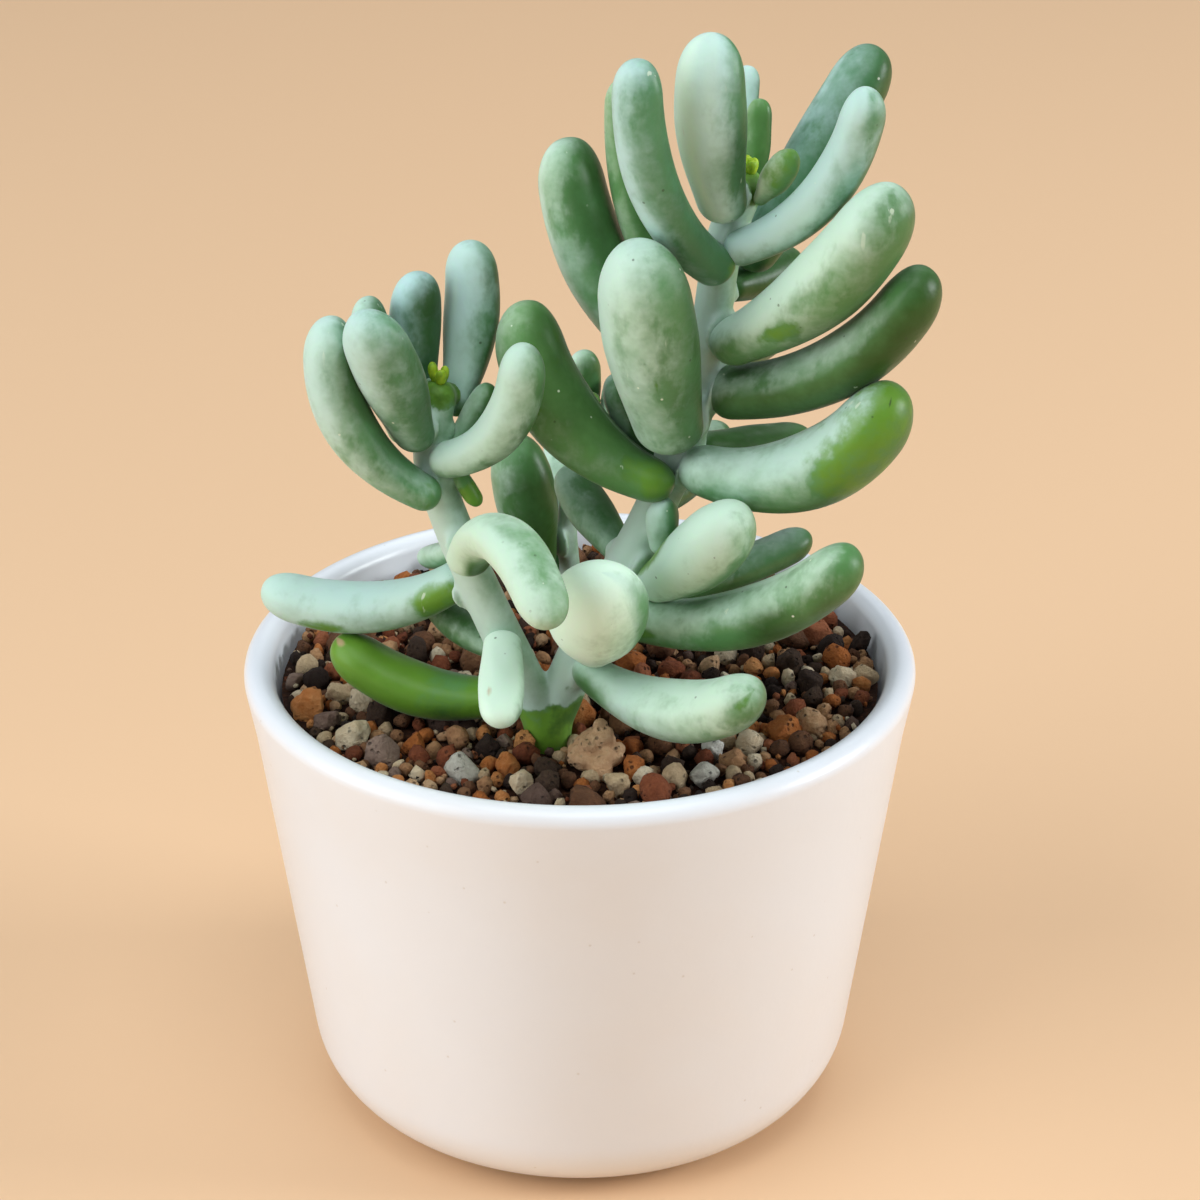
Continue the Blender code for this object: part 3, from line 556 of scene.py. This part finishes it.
def grain_finish(kind):
    """Rough stone of one kind, with its colour varied from grain to grain and pits in it."""
    finish = Finish(f"grit_{kind}", IOR=1.35)
    tint = finish.attribute("tint")
    fine = finish.cloud(0.0007, detail=6, roughness=0.7)
    blotch = finish.cloud(0.0022, detail=3)
    stops = [(place, screen(*shade)) for place, shade in zip((0.1, 0.5, 0.9), GRAIN_COLOURS[kind])]
    colour = finish.ramp(tint * 0.45 + fine * 0.6 + blotch * 0.4 - 0.17, stops)
    pits = finish.step(finish.cells(0.0009), 0.32, 0.12) * finish.step(blotch, 0.42, 0.6)
    colour = finish.mix(colour, screen(34, 22, 17), pits * 0.7)
    normal = finish.bump(fine - pits * 0.8, 0.0011, 1.0)
    return finish.wear(Base_Color=colour, Roughness=0.85 + (fine - 0.5) * 0.2, Normal=normal)


# Shapes

def pour(heap, shape):
    """Add a small bmesh to a big one and free it."""
    scrap = bpy.data.meshes.new("scrap")
    shape.to_mesh(scrap)
    shape.free()
    heap.from_mesh(scrap)
    bpy.data.meshes.remove(scrap)


def piece(name, shape, finish, nodes=()):
    """Turn a bmesh in millimetres into a smooth piece that rides on the plant's one body."""
    bmesh.ops.scale(shape, vec=(MM, MM, MM), verts=shape.verts)
    mesh = bpy.data.meshes.new(name)
    shape.to_mesh(mesh)
    shape.free()
    mesh.shade_smooth()
    mesh.materials.append(finish)
    thing = bpy.data.objects.new(name, mesh)
    bpy.context.scene.collection.objects.link(thing)
    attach(thing, "root")
    if nodes:
        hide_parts(*nodes)
    return thing


def remeshed(shape, voxel, smoothing):
    """Melt the shells of a bmesh in millimetres into one smooth skin."""
    mesh = bpy.data.meshes.new("melt")
    shape.to_mesh(mesh)
    shape.free()
    thing = bpy.data.objects.new("melt", mesh)
    bpy.context.scene.collection.objects.link(thing)
    melt = thing.modifiers.new("Melt", "REMESH")
    melt.mode = "VOXEL"
    melt.voxel_size = voxel
    bpy.context.view_layer.update()
    graph = bpy.context.evaluated_depsgraph_get()
    melted = bpy.data.meshes.new_from_object(thing.evaluated_get(graph))
    bpy.data.objects.remove(thing, do_unlink=True)
    made = bmesh.new()
    made.from_mesh(melted)
    for turn in range(smoothing):
        bmesh.ops.smooth_vert(made, verts=made.verts, factor=0.5, use_axis_x=True, use_axis_y=True,
                              use_axis_z=True)
    return made


def smooth_step(x):
    x = min(max(x, 0.0), 1.0)
    return x * x * (3 - 2 * x)


def along(points, steps_between):
    """Catmull-Rom curve through the points."""
    path = [Vector(p) for p in points]
    padded = [2 * path[0] - path[1]] + path + [2 * path[-1] - path[-2]]
    curve = []
    for k in range(len(path) - 1):
        a, b, c, d = padded[k:k + 4]
        for s in range(steps_between):
            t = s / steps_between
            curve.append(0.5 * (2 * b + (c - a) * t + (2 * a - 5 * b + 4 * c - d) * t ** 2
                                + (3 * b - a - 3 * c + d) * t ** 3))
    return curve + [path[-1]]


def stem_at(stem, height):
    """Centre, direction and radius of a stem at a height."""
    points, foot, tip = STEMS[stem]
    curve = along(points, 8)
    for low, high in zip(curve, curve[1:]):
        if height <= high.z:
            break
    share = min(max((height - low.z) / (high.z - low.z), 0), 1)
    return low.lerp(high, share), (high - low).normalized(), stem_radius(stem, height)


def stem_radius(stem, height):
    points, foot, tip = STEMS[stem]
    share = (height - SOIL_TOP) / (points[-1][2] - SOIL_TOP)
    return foot + (tip - foot) * min(max(share, 0), 1)


def direction(heading, rise):
    flat = cos(radians(rise))
    return Vector((cos(radians(heading)) * flat, sin(radians(heading)) * flat, sin(radians(rise))))


# Leaves

def cap(share, bluntness=2.2):
    """Rise of a rounded end, from 0 at its pole to 1 where the body begins."""
    return (1 - (1 - min(share, 1)) ** bluntness) ** (1 / bluntness)


def half_width(share, length, width, heel):
    """Half width along a leaf, between a blunt heel and a round tip."""
    swell = heel + (1 - heel) * smooth_step(share / FULLEST)
    taper = 1 - TIP_TAPER * smooth_step((share - FULLEST) / (1 - FULLEST))
    ends = cap(share * length / (HEEL_CAP * width)) * cap((1 - share) * length / (TIP_CAP * width))
    return width / 2 * swell * taper * ends


def leaf_path(start, heading, rise, curl, length, steps=80):
    path = [start.copy()]
    for k in range(steps):
        bend = rise + curl * (k + 0.5) / steps
        path.append(path[-1] + direction(heading, bend) * length / steps)
    return path


def leaf_start(stem, height, heading, rise, width, heel, seat):
    """Foot of a leaf, so that its round heel clears the stem."""
    centre, axis, radius = stem_at(stem, height)
    outward = direction(heading + seat, 0)
    outward = (outward - axis * outward.dot(axis)).normalized()
    reach = heel * width / 2
    return centre + outward * (radius + GAP + reach) - direction(heading, rise) * reach


def bend_to_leaf(shape, start, heading, rise, curl, length, width, heel, dents):
    """Move the vertices of a unit sphere, whose Z is the leaf's length, onto the leaf."""
    path = leaf_path(start, heading, rise, curl, length)
    steps = len(path) - 1
    side = direction(heading + 90, 0)
    lengthwise, turned = (shape.verts.layers.float.new(name) for name in ("along", "turned"))
    for vert in shape.verts:
        share = min(max((vert.co.z + 1) / 2, 0), 1)
        vert[lengthwise] = share
        k = min(int(share * steps), steps - 1)
        centre = path[k].lerp(path[k + 1], share * steps - k)
        up = direction(heading, rise + curl * share).cross(side)
        round_angle = atan2(vert.co.y, vert.co.x)
        half = half_width(share, length, width, heel)
        flat = FLATTEN_ABOVE if vert.co.y > 0 else FLATTEN_BELOW
        at_pole = vert.co.x ** 2 + vert.co.y ** 2 < 1e-9
        half = 0 if at_pole else half * (1 + dents / half * noise.noise(start + vert.co * 1.9))
        offset = side * half * cos(round_angle) + up * half * flat * sin(round_angle)
        right = Vector(VIEW).cross(side.cross(up)).normalized()
        vert[turned] = degrees(atan2(offset.dot(right), -offset.dot(VIEW)))
        vert.co = centre + offset


def paint_sun(shape):
    """Write how far each part faces the lit side, from 0 to 1, which paints light and shade into the colours and
    thickens the bloom there.
    """
    shape.normal_update()
    sun = shape.verts.layers.float.new("sun")
    for vert in shape.verts:
        vert[sun] = 0.5 + 0.5 * vert.normal.dot(LIT_AND_BLOOMED_SIDE)


def mark_strength(mark, share, turned, length, width):
    """How strongly a mark shows at a place on its leaf."""
    kind, place, angle, long, wide, strength = mark
    aside = (turned - angle + 180) % 360 - 180
    away = hypot((share - place) * length / long * 2, radians(aside) * width / wide)
    return strength * (1 - smooth_step(away / 1.5))


def paint_leaf(shape, name):
    """Write a leaf's tones and marks to its vertices."""
    stem, height, heading, rise, curl, length, width, heel, seat = LEAVES[name]
    bloom, old, heel_green, tip_green, cool = TONES.get(name, USUAL_TONES)
    lengthwise, turned = (shape.verts.layers.float[name] for name in ("along", "turned"))
    layers = {kind: shape.verts.layers.float.new(kind) for kind in TONE_NAMES if kind != "sun"}
    for vert in shape.verts:
        share = vert[lengthwise]
        vert[layers["bloom"]] = bloom
        vert[layers["old"]] = old
        vert[layers["cool"]] = cool
        fresh = heel_green * (1 - smooth_step(share / 0.3)) + tip_green * smooth_step((share - 0.35) / 0.3)
        vert[layers["fresh"]] = fresh
        for mark in MARKS.get(name, ()):
            vert[layers[mark[0]]] += mark_strength(mark, share, vert[turned], length, width)
    paint_sun(shape)


def leaf_shape(name, heel_depth, dents):
    stem, height, heading, rise, curl, length, width, heel, seat = LEAVES[name]
    start = leaf_start(stem, height, heading, rise, width, heel, seat) - direction(heading, rise) * heel_depth
    shape = bmesh.new()
    bmesh.ops.create_uvsphere(shape, u_segments=LEAF_SIDES, v_segments=LEAF_RINGS, radius=1)
    bend_to_leaf(shape, start, heading, rise, curl, length + heel_depth, width, heel, dents)
    paint_leaf(shape, name)
    return shape


def build_leaves(prefix, look):
    finish = bpy.data.materials.get("leaf_skin") or leaf_finish(look)
    for name in sorted(LEAVES):
        if name.startswith(prefix):
            shape = leaf_shape(name, look.heel_depth / MM, look.unevenness / MM)
            piece(f"{name}_skin", shape, finish, [name])


# Stems

def add_tube(shape, stem):
    """Add a stem as a chain of rings, extruded along its path and closed at both ends."""
    path = along(STEMS[stem][0], 8)
    rim = bmesh.ops.create_circle(shape, cap_ends=True, segments=24, radius=1)["verts"]
    radius = stem_radius(stem, path[0].z)
    tangent = path[1] - path[0]
    turn = tangent.to_track_quat("Z", "Y").to_matrix()
    for vert in rim:
        vert.co = path[0] + turn @ (vert.co * radius)
    cap = [face for face in shape.faces if all(vert in rim for vert in face.verts)]
    for before, centre in zip(path, path[1:]):
        made = bmesh.ops.extrude_face_region(shape, geom=cap)["geom"]
        cap = [item for item in made if isinstance(item, bmesh.types.BMFace)]
        verts = [item for item in made if isinstance(item, bmesh.types.BMVert)]
        ahead = (centre - before).to_track_quat("Z", "Y").to_matrix()
        bend = ahead @ turn.inverted()
        growth = stem_radius(stem, centre.z) / radius
        for vert in verts:
            vert.co = centre + bend @ (vert.co - before) * growth
        turn = ahead
        radius *= growth


def add_dome(shape, stem):
    """Round off the stem's end."""
    tip, axis, radius = stem_at(stem, STEMS[stem][0][-1][2])
    made = bmesh.ops.create_icosphere(shape, subdivisions=3, radius=radius)["verts"]
    bmesh.ops.translate(shape, vec=tip - axis * 0.3 * radius, verts=made)


def add_collar(shape, name):
    """A low pad on the stem under a leaf's heel."""
    stem, height, heading, rise, curl, length, width, heel, seat = LEAVES[name]
    centre, axis, radius = stem_at(stem, height)
    outward = direction(heading + seat, 0)
    outward = (outward - axis * outward.dot(axis)).normalized()
    pad = heel * width / 2
    made = bmesh.ops.create_icosphere(shape, subdivisions=3, radius=1)["verts"]
    turn = outward.to_track_quat("X", "Z").to_matrix()
    reach = Vector((0.62, pad * 0.95, pad * 0.8))
    for vert in made:
        vert.co = centre + outward * (radius - 0.05) - axis * 0.25 * pad + turn @ (vert.co * reach)


def paint_fresh(shape, stems, top, bottom):
    """Write where stems are fresh green: at the soil and, more faintly, round their tips."""
    fresh = shape.verts.layers.float.new("fresh")
    tips = [Vector(STEMS[stem][0][-1]) for stem in stems]
    for vert in shape.verts:
        away = min((vert.co - tip).length for tip in tips)
        at_foot = 1 - smooth_step((vert.co.z - bottom) / (top - bottom))
        vert[fresh] = max(at_foot, 0.75 * (1 - smooth_step((away - 1.5) / 2.5)))


def build_stems(look):
    finish = stem_finish(look)
    for node, stems in (("forked_stem", ("tall", "left")), ("back_stem", ("back",))):
        shape = bmesh.new()
        for stem in stems:
            add_tube(shape, stem)
            add_dome(shape, stem)
        for name, leaf in LEAVES.items():
            if leaf[0] in stems:
                add_collar(shape, name)
        bmesh.ops.recalc_face_normals(shape, faces=shape.faces)
        shape = remeshed(shape, 0.28, 5)
        paint_fresh(shape, stems, 60.9, 58.4)
        paint_sun(shape)
        piece(f"{node}_skin", shape, finish, [node])


def build_buds(look):
    finish = bud_finish(look)
    for name, (stem, core, blades) in BUDS.items():
        tip, axis, radius = stem_at(stem, STEMS[stem][0][-1][2])
        centre = tip + axis * (core * 0.6)
        shape = bmesh.new()
        made = bmesh.ops.create_uvsphere(shape, u_segments=16, v_segments=12, radius=core)["verts"]
        bmesh.ops.translate(shape, vec=centre, verts=made)
        for heading, rise, length, width in blades:
            blade = bmesh.new()
            bmesh.ops.create_uvsphere(blade, u_segments=14, v_segments=12, radius=1)
            start = centre + direction(heading, 0) * core * 0.2
            bend_to_leaf(blade, start, heading, rise, 15, length, width, BLADE_HEEL, 0)
            pour(shape, blade)
        shape = remeshed(shape, 0.11, 2)
        piece(f"{name}_skin", shape, finish, [name])


# Pot

def arc(centre_r, centre_z, radius, start, end, steps):
    """Points (r, z) on an arc, angles in degrees."""
    turned = []
    for k in range(steps + 1):
        angle = radians(start + (end - start) * k / steps)
        turned.append((centre_r + radius * cos(angle), centre_z + radius * sin(angle)))
    return turned


def turned_body(profile, sides):
    """Spin an (r, z) profile that starts and ends on the axis into a closed body."""
    shape = bmesh.new()
    verts = [shape.verts.new((r, 0, z)) for r, z in profile]
    edges = [shape.edges.new(pair) for pair in zip(verts, verts[1:])]
    bmesh.ops.spin(shape, geom=verts + edges, axis=(0, 0, 1), cent=(0, 0, 0), angle=2 * pi,
                   steps=sides, use_merge=True)
    bmesh.ops.remove_doubles(shape, verts=shape.verts, dist=0.001)
    bmesh.ops.recalc_face_normals(shape, faces=shape.faces)
    return shape


def wall_lean():
    """Outward lean of the pot's wall from upright, in degrees."""
    return atan2(POT_RIM_RADIUS - POT_BASE_RADIUS, POT_HEIGHT) * 180 / pi


def outer_radius(height):
    return POT_BASE_RADIUS + (POT_RIM_RADIUS - POT_BASE_RADIUS) * height / POT_HEIGHT


def corner_centre_r(radius, floor, inset):
    """Where an arc of this radius touches both the floor and the wall."""
    lean = radians(wall_lean())
    return outer_radius(floor + radius) - inset / cos(lean) - radius / cos(lean)


def pot_profile():
    lean = wall_lean()
    lip = POT_WALL / 2
    outside = arc(corner_centre_r(POT_CORNER, 0, 0), POT_CORNER, POT_CORNER, -90, -lean, 16)
    rim = arc(POT_RIM_RADIUS - lip, POT_HEIGHT - lip, lip, -lean, 180 - lean, 14)
    hollow = POT_CORNER - POT_WALL
    inside = arc(corner_centre_r(hollow, POT_FLOOR, POT_WALL), POT_FLOOR + hollow, hollow, -lean, -90, 8)
    wall = [(outer_radius(height), height) for height in (18, 26, 34, 42, 50)]
    return [(0, 0)] + outside + wall + rim + inside + [(0, POT_FLOOR)]


def build_pot(look):
    piece("pot_glazed", turned_body(pot_profile(), 192), glaze_finish(look), ["pot"])


# Soil

def soil_edge():
    return outer_radius(SOIL_TOP) - POT_WALL - 2 * GAP


def soil_height(x, y):
    """Height of the loose surface, in soft humps."""
    return SOIL_TOP + 0.35 + 0.7 * noise.noise(Vector((x, y, 3.0)) * 0.09)


def build_bed():
    lean = wall_lean()
    hollow = POT_CORNER - POT_WALL
    foot = POT_FLOOR + GAP
    corner = arc(corner_centre_r(hollow, foot, POT_WALL + GAP), foot + hollow, hollow, -90, -lean, 6)
    edge = outer_radius(SOIL_TOP) - (POT_WALL + GAP) / cos(radians(lean))
    shape = turned_body([(0, foot)] + corner + [(edge, SOIL_TOP), (0, SOIL_TOP)], 96)
    piece("soil_bed", shape, bed_finish(), ["soil"])


def add_grain(heap, place, radius, draw, detail):
    """Add one rough, chipped grain. Its tint varies from grain to grain."""
    shape = bmesh.new()
    tint = shape.verts.layers.float.new("tint")
    bmesh.ops.create_icosphere(shape, subdivisions=detail, radius=1)
    form = Vector((draw.uniform(0.9, 1.15), draw.uniform(0.8, 1.0), draw.uniform(0.7, 0.95)))
    turn = Euler([draw.uniform(0, 2 * pi) for axis in range(3)]).to_matrix()
    chips = [(Vector([draw.gauss(0, 1) for axis in range(3)]).normalized(), draw.uniform(0.6, 0.88))
             for chip in range(7)]
    offset = Vector([draw.uniform(0, 50) for axis in range(3)])
    shade = draw.random()
    for vert in shape.verts:
        spot = vert.co.copy()
        bump = 1 + 0.24 * noise.noise(spot * 1.4 + offset) + 0.14 * noise.noise(spot * 3.3 + offset)
        spot *= bump
        for normal, depth in chips:
            over = spot.dot(normal) - depth
            if over > 0:
                spot -= normal * over * 0.85
        vert.co = place + turn @ (spot * form) * radius
        vert[tint] = shade
    pour(heap, shape)


def free_places(count, smallest, largest, spacing, draw, taken):
    """Seeded places of loose grains inside the pot, clear of those already taken."""
    places = []
    for attempt in range(count * 30):
        if len(places) == count:
            break
        radius = smallest + (largest - smallest) * draw.random() ** 1.7
        reach = (soil_edge() - radius * 0.8) * draw.random() ** 0.5
        angle = draw.uniform(0, 2 * pi)
        x, y = reach * cos(angle), reach * sin(angle)
        if all((x - a) ** 2 + (y - b) ** 2 > (spacing * (radius + size)) ** 2 for a, b, size in taken):
            taken.append((x, y, radius))
            places.append((x, y, radius))
    return places


def build_grit(look):
    draw = random.Random(look.seed)
    kinds = list(GRAIN_KINDS)
    weights = list(GRAIN_KINDS.values())
    heaps = {kind: bmesh.new() for kind in GRAIN_COLOURS if kind != "lump"}
    stem_feet = [(x, y, 3.0) for x, y in ((-3.5, -16.5), (-1.0, 17.0))]
    taken = stem_feet + [(LUMP[0], LUMP[1], LUMP[2] / 2)]
    for x, y, width, kind in LARGE_GRAINS:
        radius = width / 2
        taken.append((x, y, radius))
        place = Vector((x, y, min(soil_height(x, y) + radius * 0.55, SOIL_HIGHEST - radius * 0.8)))
        add_grain(heaps[kind], place, radius, draw, 4)
    for x, y, radius in free_places(look.grains, 0.9, 2.5, 0.78, draw, taken):
        place = Vector((x, y, soil_height(x, y) + radius * draw.uniform(0.25, 0.75)))
        add_grain(heaps[draw.choices(kinds, weights)[0]], place, radius, draw, 2)
    for x, y, radius in free_places(look.crumbs, 0.35, 0.8, 0.7, draw, list(stem_feet)):
        place = Vector((x, y, soil_height(x, y) + draw.uniform(-0.1, 0.7)))
        add_grain(heaps[draw.choices(kinds, weights)[0]], place, radius, draw, 1)
    for kind, heap in heaps.items():
        piece(f"grit_{kind}", heap, grain_finish(kind))


def build_lump():
    """The crumbly tan lump, melted together from small clods."""
    draw = random.Random(4)
    x, y, width = LUMP
    shape = bmesh.new()
    for clod in range(26):
        radius = width * draw.uniform(0.09, 0.2)
        heading = draw.uniform(0, 2 * pi)
        reach = width * 0.36 * draw.random() ** 0.6
        place = Vector((x + cos(heading) * reach, y + sin(heading) * reach,
                        SOIL_TOP + 0.8 + (1 - reach / width * 2) * 4.0 * draw.uniform(0.3, 1)))
        add_grain(shape, place, radius, draw, 3)
    made = remeshed(shape, 0.2, 1)
    tint = made.verts.layers.float.get("tint") or made.verts.layers.float.new("tint")
    for vert in made.verts:
        vert[tint] = 0.9
    piece("tan_lump", made, grain_finish("lump"))


# Stage

def add_light(name, place, power, size):
    """A square softbox that faces the plant."""
    lamp = bpy.data.lights.new(name, "AREA")
    lamp.size = size
    lamp.energy = power
    lamp.color = LIGHT_COLOUR
    thing = bpy.data.objects.new(name, lamp)
    bpy.context.scene.collection.objects.link(thing)
    thing.location = place
    thing.rotation_euler = (Vector(LIGHT_TARGET) - Vector(place)).to_track_quat("-Z", "Y").to_euler()


def build_floor(look):
    shape = bmesh.new()
    bmesh.ops.create_grid(shape, x_segments=1, y_segments=1, size=6)
    mesh = bpy.data.meshes.new("floor")
    shape.to_mesh(mesh)
    shape.free()
    finish = Finish("floor_card", IOR=1.3)
    mesh.materials.append(finish.wear(Base_Color=look.floor, Roughness=0.9))
    floor = bpy.data.objects.new("floor", mesh)
    bpy.context.scene.collection.objects.link(floor)


def build_camera():
    camera = bpy.data.cameras.new("camera")
    camera.lens = CAMERA_LENS
    camera.sensor_width = SENSOR
    thing = bpy.data.objects.new("camera", camera)
    bpy.context.scene.collection.objects.link(thing)
    thing.location = Vector(CAMERA_PLACE) * MM
    thing.rotation_euler = (radians(90 - CAMERA_DOWN), 0, 0)
    bpy.context.scene.camera = thing


def build_world():
    world = bpy.data.worlds.new("studio")
    world.use_nodes = True
    back = world.node_tree.nodes["Background"]
    back.inputs["Color"].default_value = (*screen(238, 241, 247), 1)
    back.inputs["Strength"].default_value = 0.22
    bpy.context.scene.world = world
    bpy.context.scene.view_settings.view_transform = "Standard"


def build_stage(look):
    build_camera()
    build_floor(look)
    build_world()
    add_light("left_softbox", LEFT_LIGHT, look.left_power, 1.2)
    add_light("right_softbox", RIGHT_LIGHT, look.right_power, 0.4)
    add_light("top_softbox", TOP_LIGHT, look.top_power, 0.9)
    add_light("back_softbox", BACK_LIGHT, look.back_power, 0.8)


# Add-on

class SEDUM_OT_stage(bpy.types.Operator):
    """Camera, floor and studio lights"""

    bl_idname = "sedum.stage"
    bl_label = "Stage"

    def execute(self, context):
        build_stage(context.scene.sedum_stage)
        return {"FINISHED"}


class SEDUM_OT_pot(bpy.types.Operator):
    """The glazed pot"""

    bl_idname = "sedum.pot"
    bl_label = "Pot"

    def execute(self, context):
        build_pot(context.scene.sedum_pot)
        return {"FINISHED"}


class SEDUM_OT_soil(bpy.types.Operator):
    """The bed of soil with its loose grit"""

    bl_idname = "sedum.soil"
    bl_label = "Soil and grit"

    def execute(self, context):
        build_bed()
        build_grit(context.scene.sedum_soil)
        build_lump()
        return {"FINISHED"}


class SEDUM_OT_stems(bpy.types.Operator):
    """The forked stem and the back stem"""

    bl_idname = "sedum.stems"
    bl_label = "Stems"

    def execute(self, context):
        build_stems(context.scene.sedum_plant)
        return {"FINISHED"}


class SEDUM_OT_leaves(bpy.types.Operator):
    """The leaves of one stem"""

    bl_idname = "sedum.leaves"
    bl_label = "Leaves"

    stem: bpy.props.EnumProperty(name="Stem", description="Stem whose leaves are built", default="tall",
                                 items=[(name, name.title(), f"Leaves of the {name} stem") for name in STEMS])

    def execute(self, context):
        build_leaves(f"{self.stem}_leaf", context.scene.sedum_plant)
        return {"FINISHED"}


class SEDUM_OT_buds(bpy.types.Operator):
    """The buds at the stem tips"""

    bl_idname = "sedum.buds"
    bl_label = "Buds"

    def execute(self, context):
        build_buds(context.scene.sedum_plant)
        return {"FINISHED"}


class SEDUM_PT_looks(bpy.types.Panel):
    """Lists the pieces and their settings"""

    bl_idname = "SEDUM_PT_looks"
    bl_label = "Potted sedum"
    bl_space_type = "VIEW_3D"
    bl_region_type = "UI"
    bl_category = "Sedum"

    def draw(self, context):
        for operator in OPERATORS:
            self.layout.operator(operator.bl_idname)
        for name in GROUPS:
            box = self.layout.box()
            look = getattr(context.scene, name)
            for setting in look.__annotations__:
                box.prop(look, setting)


GROUPS = {"sedum_pot": SEDUM_PG_pot, "sedum_plant": SEDUM_PG_plant, "sedum_soil": SEDUM_PG_soil,
          "sedum_stage": SEDUM_PG_stage}
OPERATORS = [SEDUM_OT_stage, SEDUM_OT_pot, SEDUM_OT_soil, SEDUM_OT_stems, SEDUM_OT_leaves, SEDUM_OT_buds]


def register():
    for kind in [*GROUPS.values(), *OPERATORS, SEDUM_PT_looks]:
        bpy.utils.register_class(kind)
    for name, group in GROUPS.items():
        setattr(bpy.types.Scene, name, bpy.props.PointerProperty(type=group))


def unregister():
    for name in GROUPS:
        delattr(bpy.types.Scene, name)
    for kind in reversed([*GROUPS.values(), *OPERATORS, SEDUM_PT_looks]):
        bpy.utils.unregister_class(kind)


def main():
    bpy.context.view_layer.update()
    register()
    bpy.ops.sedum.stage()
    bpy.ops.sedum.pot()
    bpy.ops.sedum.soil()
    bpy.ops.sedum.stems()
    for stem in STEMS:
        bpy.ops.sedum.leaves(stem=stem)
    bpy.ops.sedum.buds()


if __name__ == "__main__":
    main()
